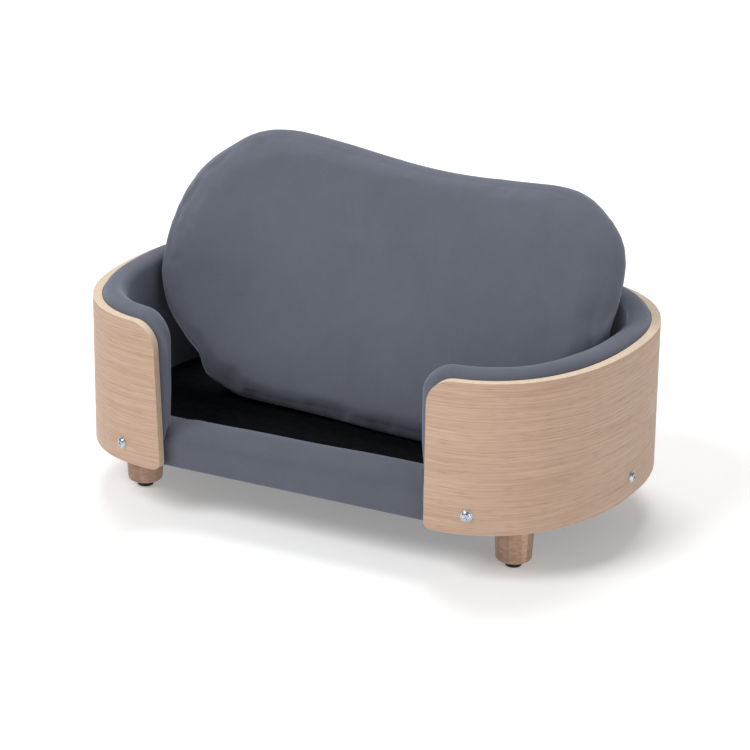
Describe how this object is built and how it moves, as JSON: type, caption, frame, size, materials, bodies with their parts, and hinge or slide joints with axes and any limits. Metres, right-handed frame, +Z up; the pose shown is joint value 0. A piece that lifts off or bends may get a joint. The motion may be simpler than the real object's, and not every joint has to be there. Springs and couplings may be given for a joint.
{
  "type": "dog bed",
  "caption": "Low dog bed: a bent wood shell with a padded liner and a soft front roll on tapered legs, and a loose seat cushion standing on its long edge inside.",
  "frame": {"origin": "on the floor, under the middle of the shell's outline", "axes": "+X to the right seen from the front, -Y out of the doorway at the front, +Z up"},
  "size_m": [0.6064, 0.376, 0.3728],
  "materials": {
    "oak_veneer": "satin oak veneer on bent plywood",
    "velvet": "short-pile slate grey velvet",
    "cushion_velvet": "short-pile slate grey velvet, filled",
    "foam": "open-cell upholstery foam",
    "leg_wood": "turned and stained hardwood, satin",
    "glide_black": "moulded glide, matte",
    "frame_wood": "sawn softwood",
    "board": "hardboard",
    "deck_cloth": "dark woven deck cloth",
    "dust_cloth": "black non-woven dust cover",
    "zinc": "bright zinc plated steel",
    "brass_insert": "plain",
    "zip_tape": "coil zip on woven tape",
    "zip_metal": "painted zip slider"
  },
  "bodies": {
    "bed": {"bent_shell": "oak_veneer", "liner_board": "board", "liner_foam": "foam", "liner_cover": "velvet", "front_rail": "frame_wood", "back_rail": "frame_wood", "left_rail": "frame_wood", "right_rail": "frame_wood", "front_left_block": "frame_wood", "front_right_block": "frame_wood", "back_left_block": "frame_wood", "back_right_block": "frame_wood", "deck_board": "board", "deck_cloth": "deck_cloth", "roll_foam": "foam", "roll_cover": "velvet", "dust_cover": "dust_cloth", "front_left_leg": "leg_wood", "front_right_leg": "leg_wood", "back_left_leg": "leg_wood", "back_right_leg": "leg_wood", "front_left_glide": "glide_black", "front_right_glide": "glide_black", "back_left_glide": "glide_black", "back_right_glide": "glide_black", "hanger_bolts": "zinc", "tee_nuts": "zinc", "shell_bolts": "zinc", "threaded_inserts": "brass_insert"},
    "cushion": {"cushion_filling": "foam", "cushion_cover": "cushion_velvet", "zip_chain": "zip_tape"},
    "zip": {"zip_slider": "zip_metal"}
  },
  "joints": [
    {"name": "cushion_lift", "type": "slide", "parent": "bed", "child": "cushion", "axis": [0, 0, 1], "range_m": [0, 0.3]},
    {"name": "zip_slide", "type": "slide", "parent": "cushion", "child": "zip", "axis": [0.9979, -0.0507, -0.0409], "range_m": [0, 0.33]}
  ]
}
